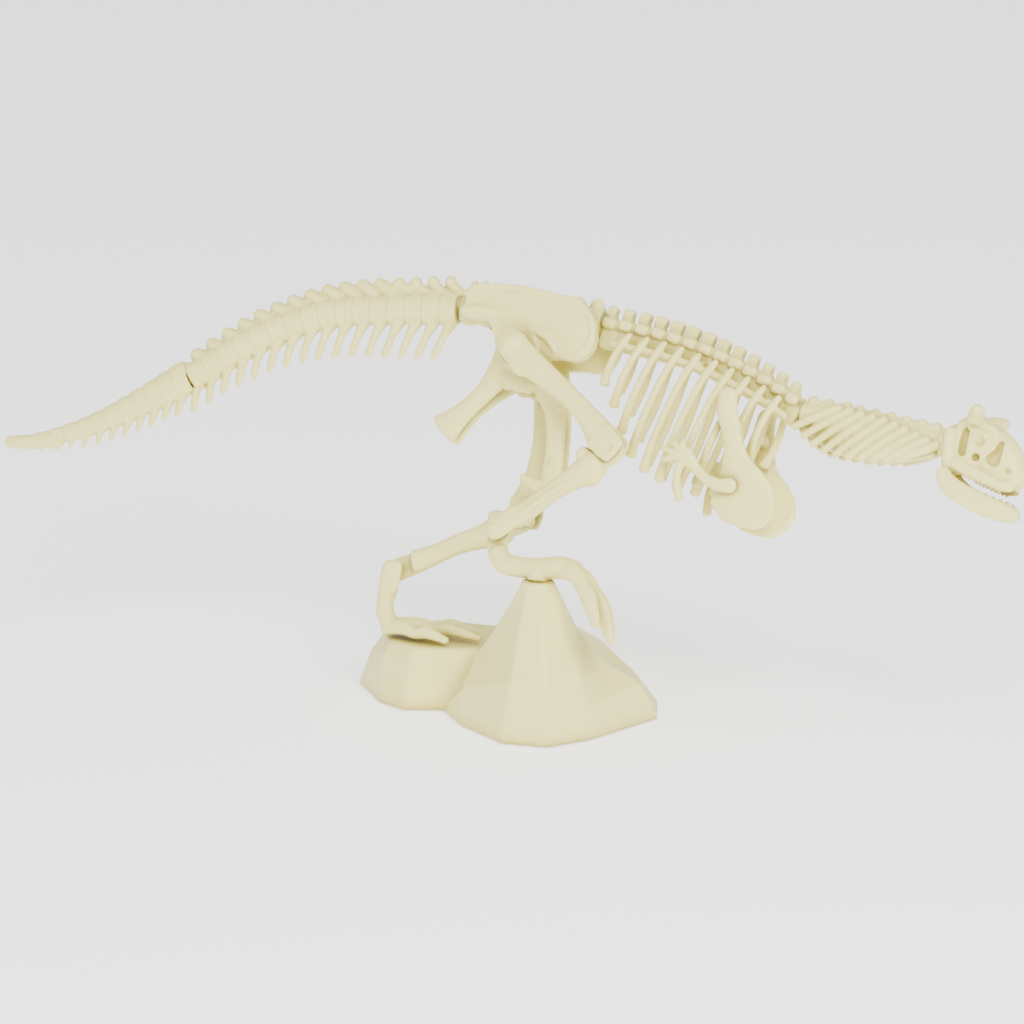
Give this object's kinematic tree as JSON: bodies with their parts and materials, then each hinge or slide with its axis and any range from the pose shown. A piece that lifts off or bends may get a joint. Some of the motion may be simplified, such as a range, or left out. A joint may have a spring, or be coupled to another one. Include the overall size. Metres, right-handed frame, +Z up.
{
  "type": "dinosaur skeleton model kit",
  "caption": "Snap-together skeleton of a horned two-legged dinosaur in cream plastic, striding with one foot pinned on the peak of a hollow rock stand and the other on its ledge.",
  "frame": {"origin": "under the middle of the model's bounding box, at table height", "axes": "+X towards the head along the animal, +Y towards its left side, +Z up"},
  "size_m": [0.3156, 0.089, 0.1215],
  "materials": {
    "bone_plastic": "satin ivory moulded plastic with fine grain",
    "rock_plastic": "satin ivory moulded plastic, faceted rock"
  },
  "bodies": {
    "stand": {"rock_base": "rock_plastic", "foot_right": "bone_plastic"},
    "shin_right": {"shin_right": "bone_plastic"},
    "thigh_right": {"thigh_right": "bone_plastic"},
    "torso": {"hip_right": "bone_plastic", "hip_left": "bone_plastic", "sacrum": "bone_plastic", "dorsal_spine": "bone_plastic", "ribs_right": "bone_plastic", "ribs_left": "bone_plastic", "shoulder_right": "bone_plastic", "shoulder_left": "bone_plastic"},
    "thigh_left": {"thigh_left": "bone_plastic"},
    "shin_left": {"shin_left": "bone_plastic"},
    "foot_left": {"foot_left": "bone_plastic"},
    "tail_base": {"tail_base": "bone_plastic"},
    "tail_tip": {"tail_tip": "bone_plastic"},
    "neck": {"neck": "bone_plastic"},
    "skull": {"skull": "bone_plastic"},
    "lower_jaw": {"lower_jaw": "bone_plastic"},
    "arm_right": {"arm_right": "bone_plastic"},
    "arm_left": {"arm_left": "bone_plastic"}
  },
  "joints": [
    {"name": "ankle_right", "type": "hinge", "parent": "stand", "child": "shin_right", "pos_m": [0.00507, -0.0239, 0.05716], "axis": [0, 0.9135, -0.4067], "range_deg": [0, 10]},
    {"name": "knee_right", "type": "hinge", "parent": "shin_right", "child": "thigh_right", "pos_m": [0.03686, -0.01305, 0.08153], "axis": [0, 0.9135, -0.4067], "range_deg": [0, 12]},
    {"name": "hip_right", "type": "hinge", "parent": "thigh_right", "child": "torso", "pos_m": [0.00046, 0.00136, 0.10407], "axis": [0, 0.9135, -0.4067], "range_deg": [0, 14]},
    {"name": "hip_left", "type": "hinge", "parent": "torso", "child": "thigh_left", "pos_m": [0.00046, 0.01963, 0.09593], "axis": [0, 0.9135, -0.4067], "range_deg": [0, 25]},
    {"name": "knee_left", "type": "hinge", "parent": "thigh_left", "child": "shin_left", "pos_m": [0.00046, 0.00499, 0.0532], "axis": [0, 0.9135, -0.4067], "range_deg": [0, 20]},
    {"name": "ankle_left", "type": "hinge", "parent": "shin_left", "child": "foot_left", "pos_m": [-0.03684, -0.00241, 0.03658], "axis": [0, 0.9135, -0.4067], "range_deg": [-10, 0]},
    {"name": "tail_base_swivel", "type": "hinge", "parent": "torso", "child": "tail_base", "pos_m": [-0.02404, 0.01558, 0.11142], "axis": [-1, 0, 0], "range_deg": [-20, 20]},
    {"name": "tail_tip_swivel", "type": "hinge", "parent": "tail_base", "child": "tail_tip", "pos_m": [-0.10404, 0.00379, 0.08493], "axis": [-0.8078, -0.2398, -0.5385], "range_deg": [-30, 30]},
    {"name": "neck_swivel", "type": "hinge", "parent": "torso", "child": "neck", "pos_m": [0.08646, 0.00725, 0.09269], "axis": [1, 0, 0], "range_deg": [-20, 20]},
    {"name": "head_swivel", "type": "hinge", "parent": "neck", "child": "skull", "pos_m": [0.13046, 0.00582, 0.08949], "axis": [1, 0, 0], "range_deg": [-25, 25]},
    {"name": "jaw_hinge", "type": "hinge", "parent": "skull", "child": "lower_jaw", "pos_m": [0.13346, 0.00216, 0.08127], "axis": [0, 0.9135, -0.4067], "range_deg": [-2, 14]},
    {"name": "arm_right_swing", "type": "hinge", "parent": "torso", "child": "arm_right", "pos_m": [0.07196, -0.01048, 0.07459], "axis": [0, 0.9848, -0.1736], "range_deg": [-20, 20]},
    {"name": "arm_left_swing", "type": "hinge", "parent": "torso", "child": "arm_left", "pos_m": [0.07196, 0.00566, 0.06741], "axis": [0, 0.788, -0.6157], "range_deg": [-20, 20]}
  ]
}
